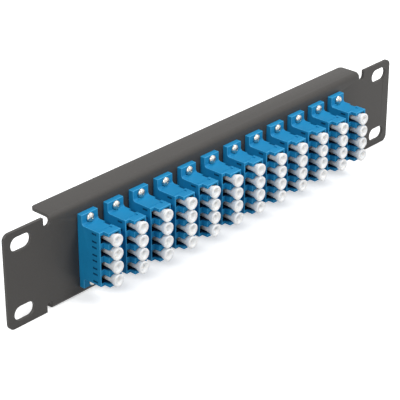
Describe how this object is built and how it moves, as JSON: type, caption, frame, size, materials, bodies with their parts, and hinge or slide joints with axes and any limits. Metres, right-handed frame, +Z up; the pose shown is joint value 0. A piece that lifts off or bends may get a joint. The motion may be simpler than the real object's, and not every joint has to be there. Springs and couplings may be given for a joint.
{
  "type": "fibre patch panel",
  "caption": "Folded rack plate with slotted ears, carrying a row of four-port fibre adapters with screwed flanges and a push-in dust cap in every port.",
  "frame": {"origin": "centre of the plate's front face, level with the rack line through the middle of the four ear slots", "axes": "+X along the plate to the right seen from the front, -Y out of the front towards the plugs, +Z up; the row of adapters runs along X"},
  "size_m": [0.254, 0.0349, 0.044],
  "materials": {
    "panel_paint": "fine matt powder coat, dark grey",
    "screw_steel": "bright nickel-plated steel",
    "adapter_plastic": "satin blue moulded plastic",
    "cap_plastic": "soft white moulded plastic"
  },
  "bodies": {
    "loaded_panel": {"panel": "panel_paint", "screws": "screw_steel", "front_housing_01": "adapter_plastic", "front_housing_02": "adapter_plastic", "front_housing_03": "adapter_plastic", "front_housing_04": "adapter_plastic", "front_housing_05": "adapter_plastic", "front_housing_06": "adapter_plastic", "front_housing_07": "adapter_plastic", "front_housing_08": "adapter_plastic", "front_housing_09": "adapter_plastic", "front_housing_10": "adapter_plastic", "front_housing_11": "adapter_plastic", "front_housing_12": "adapter_plastic", "rear_housing_01": "adapter_plastic", "rear_housing_02": "adapter_plastic", "rear_housing_03": "adapter_plastic", "rear_housing_04": "adapter_plastic", "rear_housing_05": "adapter_plastic", "rear_housing_06": "adapter_plastic", "rear_housing_07": "adapter_plastic", "rear_housing_08": "adapter_plastic", "rear_housing_09": "adapter_plastic", "rear_housing_10": "adapter_plastic", "rear_housing_11": "adapter_plastic", "rear_housing_12": "adapter_plastic"},
    "front_cap_set_01": {"front_caps_01": "cap_plastic"},
    "front_cap_set_02": {"front_caps_02": "cap_plastic"},
    "front_cap_set_03": {"front_caps_03": "cap_plastic"},
    "front_cap_set_04": {"front_caps_04": "cap_plastic"},
    "front_cap_set_05": {"front_caps_05": "cap_plastic"},
    "front_cap_set_06": {"front_caps_06": "cap_plastic"},
    "front_cap_set_07": {"front_caps_07": "cap_plastic"},
    "front_cap_set_08": {"front_caps_08": "cap_plastic"},
    "front_cap_set_09": {"front_caps_09": "cap_plastic"},
    "front_cap_set_10": {"front_caps_10": "cap_plastic"},
    "front_cap_set_11": {"front_caps_11": "cap_plastic"},
    "front_cap_set_12": {"front_caps_12": "cap_plastic"},
    "rear_cap_set_01": {"rear_caps_01": "cap_plastic"},
    "rear_cap_set_02": {"rear_caps_02": "cap_plastic"},
    "rear_cap_set_03": {"rear_caps_03": "cap_plastic"},
    "rear_cap_set_04": {"rear_caps_04": "cap_plastic"},
    "rear_cap_set_05": {"rear_caps_05": "cap_plastic"},
    "rear_cap_set_06": {"rear_caps_06": "cap_plastic"},
    "rear_cap_set_07": {"rear_caps_07": "cap_plastic"},
    "rear_cap_set_08": {"rear_caps_08": "cap_plastic"},
    "rear_cap_set_09": {"rear_caps_09": "cap_plastic"},
    "rear_cap_set_10": {"rear_caps_10": "cap_plastic"},
    "rear_cap_set_11": {"rear_caps_11": "cap_plastic"},
    "rear_cap_set_12": {"rear_caps_12": "cap_plastic"}
  },
  "joints": [
    {"name": "front_caps_01_pull", "type": "slide", "parent": "loaded_panel", "child": "front_cap_set_01", "axis": [0, -1, 0], "range_m": [0, 0.01]},
    {"name": "front_caps_02_pull", "type": "slide", "parent": "loaded_panel", "child": "front_cap_set_02", "axis": [0, -1, 0], "range_m": [0, 0.01]},
    {"name": "front_caps_03_pull", "type": "slide", "parent": "loaded_panel", "child": "front_cap_set_03", "axis": [0, -1, 0], "range_m": [0, 0.01]},
    {"name": "front_caps_04_pull", "type": "slide", "parent": "loaded_panel", "child": "front_cap_set_04", "axis": [0, -1, 0], "range_m": [0, 0.01]},
    {"name": "front_caps_05_pull", "type": "slide", "parent": "loaded_panel", "child": "front_cap_set_05", "axis": [0, -1, 0], "range_m": [0, 0.01]},
    {"name": "front_caps_06_pull", "type": "slide", "parent": "loaded_panel", "child": "front_cap_set_06", "axis": [0, -1, 0], "range_m": [0, 0.01]},
    {"name": "front_caps_07_pull", "type": "slide", "parent": "loaded_panel", "child": "front_cap_set_07", "axis": [0, -1, 0], "range_m": [0, 0.01]},
    {"name": "front_caps_08_pull", "type": "slide", "parent": "loaded_panel", "child": "front_cap_set_08", "axis": [0, -1, 0], "range_m": [0, 0.01]},
    {"name": "front_caps_09_pull", "type": "slide", "parent": "loaded_panel", "child": "front_cap_set_09", "axis": [0, -1, 0], "range_m": [0, 0.01]},
    {"name": "front_caps_10_pull", "type": "slide", "parent": "loaded_panel", "child": "front_cap_set_10", "axis": [0, -1, 0], "range_m": [0, 0.01]},
    {"name": "front_caps_11_pull", "type": "slide", "parent": "loaded_panel", "child": "front_cap_set_11", "axis": [0, -1, 0], "range_m": [0, 0.01]},
    {"name": "front_caps_12_pull", "type": "slide", "parent": "loaded_panel", "child": "front_cap_set_12", "axis": [0, -1, 0], "range_m": [0, 0.01]},
    {"name": "rear_caps_01_pull", "type": "slide", "parent": "loaded_panel", "child": "rear_cap_set_01", "axis": [0, 1, 0], "range_m": [0, 0.01]},
    {"name": "rear_caps_02_pull", "type": "slide", "parent": "loaded_panel", "child": "rear_cap_set_02", "axis": [0, 1, 0], "range_m": [0, 0.01]},
    {"name": "rear_caps_03_pull", "type": "slide", "parent": "loaded_panel", "child": "rear_cap_set_03", "axis": [0, 1, 0], "range_m": [0, 0.01]},
    {"name": "rear_caps_04_pull", "type": "slide", "parent": "loaded_panel", "child": "rear_cap_set_04", "axis": [0, 1, 0], "range_m": [0, 0.01]},
    {"name": "rear_caps_05_pull", "type": "slide", "parent": "loaded_panel", "child": "rear_cap_set_05", "axis": [0, 1, 0], "range_m": [0, 0.01]},
    {"name": "rear_caps_06_pull", "type": "slide", "parent": "loaded_panel", "child": "rear_cap_set_06", "axis": [0, 1, 0], "range_m": [0, 0.01]},
    {"name": "rear_caps_07_pull", "type": "slide", "parent": "loaded_panel", "child": "rear_cap_set_07", "axis": [0, 1, 0], "range_m": [0, 0.01]},
    {"name": "rear_caps_08_pull", "type": "slide", "parent": "loaded_panel", "child": "rear_cap_set_08", "axis": [0, 1, 0], "range_m": [0, 0.01]},
    {"name": "rear_caps_09_pull", "type": "slide", "parent": "loaded_panel", "child": "rear_cap_set_09", "axis": [0, 1, 0], "range_m": [0, 0.01]},
    {"name": "rear_caps_10_pull", "type": "slide", "parent": "loaded_panel", "child": "rear_cap_set_10", "axis": [0, 1, 0], "range_m": [0, 0.01]},
    {"name": "rear_caps_11_pull", "type": "slide", "parent": "loaded_panel", "child": "rear_cap_set_11", "axis": [0, 1, 0], "range_m": [0, 0.01]},
    {"name": "rear_caps_12_pull", "type": "slide", "parent": "loaded_panel", "child": "rear_cap_set_12", "axis": [0, 1, 0], "range_m": [0, 0.01]}
  ]
}
